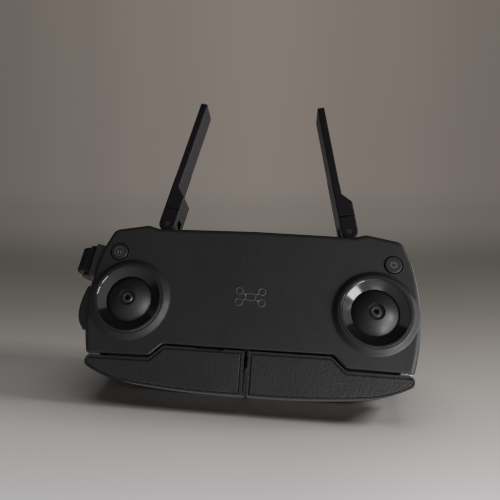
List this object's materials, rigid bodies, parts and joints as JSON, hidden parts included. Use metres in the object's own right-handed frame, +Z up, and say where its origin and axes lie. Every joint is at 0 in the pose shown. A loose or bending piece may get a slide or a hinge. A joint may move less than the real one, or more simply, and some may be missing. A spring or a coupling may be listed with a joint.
{
  "type": "radio transmitter controller",
  "caption": "Compact folding drone remote controller with stick gimbals, fold-up antennas, swing-out phone clamps, face and shoulder buttons and a tilt dial.",
  "frame": {"origin": "centre of the flat back of the case, level with the stick centres", "axes": "+X to the user's right, +Y from the face to the back, +Z up towards the antennas"},
  "size_m": [0.1583, 0.0493, 0.1478],
  "materials": {
    "case_plastic": "fine-grained matte black plastic",
    "clamp_plastic": "matte black plastic",
    "grip_texture": "coarse leather-like grain",
    "gloss_black": "polished black",
    "dome_plastic": "satin black",
    "antenna_plastic": "smooth satin black",
    "rubber_black": "matte",
    "port_plastic": "satin",
    "steel": "satin",
    "screw_steel": "black oxide",
    "spring_steel": "bright",
    "socket_metal": "dark nickel",
    "circuit_board": "green solder mask",
    "frame_plastic": "dark grey",
    "clear_plastic": "clear light guide",
    "cell_sleeve": "shrink sleeve",
    "cable_jacket": "matte"
  },
  "bodies": {
    "case": {"front_shell": "case_plastic", "rear_shell": "case_plastic", "shell_screws": "screw_steel", "led_light_guide": "clear_plastic", "side_port_housing": "port_plastic", "usb_receptacle": "steel", "main_board": "circuit_board", "board_screws": "screw_steel", "buzzer": "port_plastic", "battery_cell": "cell_sleeve", "battery_holder": "frame_plastic", "button_boards": "circuit_board", "tact_switches": "port_plastic", "hall_boards": "circuit_board", "antenna_cables": "cable_jacket", "centring_springs": "spring_steel", "centring_plungers": "frame_plastic", "gimbal_screws": "screw_steel", "dial_axle": "steel", "dial_bracket": "frame_plastic", "bracket_screws": "screw_steel", "gimbal_bezel_left": "gloss_black", "gimbal_housing_left": "frame_plastic", "antenna_pin_left": "screw_steel", "hinge_bracket_left": "steel", "clamp_pin_left": "steel", "gimbal_bezel_right": "gloss_black", "gimbal_housing_right": "frame_plastic", "antenna_pin_right": "screw_steel", "hinge_bracket_right": "steel", "clamp_pin_right": "steel"},
    "left_yoke": {"gimbal_yoke_left": "frame_plastic"},
    "left_stick": {"stick_hub_left": "dome_plastic", "stick_socket_left": "socket_metal"},
    "left_antenna": {"antenna_knuckle_left": "antenna_plastic", "antenna_blade_left": "antenna_plastic", "antenna_element_left": "circuit_board"},
    "left_clamp": {"clamp_arm_left": "clamp_plastic", "grip_pad_left": "grip_texture", "phone_pads_left": "rubber_black", "stowed_stick_left": "rubber_black"},
    "right_yoke": {"gimbal_yoke_right": "frame_plastic"},
    "right_stick": {"stick_hub_right": "dome_plastic", "stick_socket_right": "socket_metal"},
    "right_antenna": {"antenna_knuckle_right": "antenna_plastic", "antenna_blade_right": "antenna_plastic", "antenna_element_right": "circuit_board"},
    "right_clamp": {"clamp_arm_right": "clamp_plastic", "grip_pad_right": "grip_texture", "phone_pads_right": "rubber_black", "stowed_stick_right": "rubber_black"},
    "pause_key": {"pause_button": "clamp_plastic"},
    "power_key": {"power_button": "clamp_plastic"},
    "record_key": {"record_button": "clamp_plastic"},
    "shutter_key": {"shutter_button": "clamp_plastic"},
    "tilt_dial": {"gimbal_dial": "frame_plastic", "dial_grip_ring": "rubber_black"}
  },
  "joints": [
    {"name": "left_antenna_fold", "type": "hinge", "parent": "case", "child": "left_antenna", "pos_m": [-0.0438, -0.031, 0.0405], "axis": [0, 1, 0], "range_deg": [-20, 79]},
    {"name": "right_antenna_fold", "type": "hinge", "parent": "case", "child": "right_antenna", "pos_m": [0.0438, -0.031, 0.0405], "axis": [0, 1, 0], "range_deg": [-79, 20]},
    {"name": "left_clamp_swing", "type": "hinge", "parent": "case", "child": "left_clamp", "pos_m": [-0.067, -0.037, -0.0277], "axis": [0, 1, 0], "range_deg": [0, 105]},
    {"name": "right_clamp_swing", "type": "hinge", "parent": "case", "child": "right_clamp", "pos_m": [0.067, -0.037, -0.0277], "axis": [0, 1, 0], "range_deg": [-105, 0]},
    {"name": "left_stick_pitch", "type": "hinge", "parent": "case", "child": "left_yoke", "pos_m": [-0.054, -0.0358, 0], "axis": [1, 0, 0], "range_deg": [-16, 16], "stiffness_Nm_per_rad": 0.02},
    {"name": "left_stick_roll", "type": "hinge", "parent": "left_yoke", "child": "left_stick", "pos_m": [-0.054, -0.0358, 0], "axis": [0, 0, 1], "range_deg": [-16, 16], "stiffness_Nm_per_rad": 0.02},
    {"name": "right_stick_pitch", "type": "hinge", "parent": "case", "child": "right_yoke", "pos_m": [0.054, -0.0358, 0], "axis": [1, 0, 0], "range_deg": [-16, 16], "stiffness_Nm_per_rad": 0.02},
    {"name": "right_stick_roll", "type": "hinge", "parent": "right_yoke", "child": "right_stick", "pos_m": [0.054, -0.0358, 0], "axis": [0, 0, 1], "range_deg": [-16, 16], "stiffness_Nm_per_rad": 0.02},
    {"name": "pause_press", "type": "slide", "parent": "case", "child": "pause_key", "axis": [0, 1, 0], "range_m": [0, 0.0005], "stiffness_N_per_m": 800},
    {"name": "power_press", "type": "slide", "parent": "case", "child": "power_key", "axis": [0, 1, 0], "range_m": [0, 0.0005], "stiffness_N_per_m": 800},
    {"name": "record_press", "type": "slide", "parent": "case", "child": "record_key", "axis": [0.1865, 0, -0.9825], "range_m": [0, 0.0008], "stiffness_N_per_m": 800},
    {"name": "shutter_press", "type": "slide", "parent": "case", "child": "shutter_key", "axis": [-0.1865, 0, -0.9825], "range_m": [0, 0.0008], "stiffness_N_per_m": 800},
    {"name": "tilt_dial_turn", "type": "hinge", "parent": "case", "child": "tilt_dial", "pos_m": [-0.0759, -0.034, 0.0187], "axis": [0.1305, 0, 0.9914], "range_deg": [-30, 30], "stiffness_Nm_per_rad": 0.01}
  ]
}
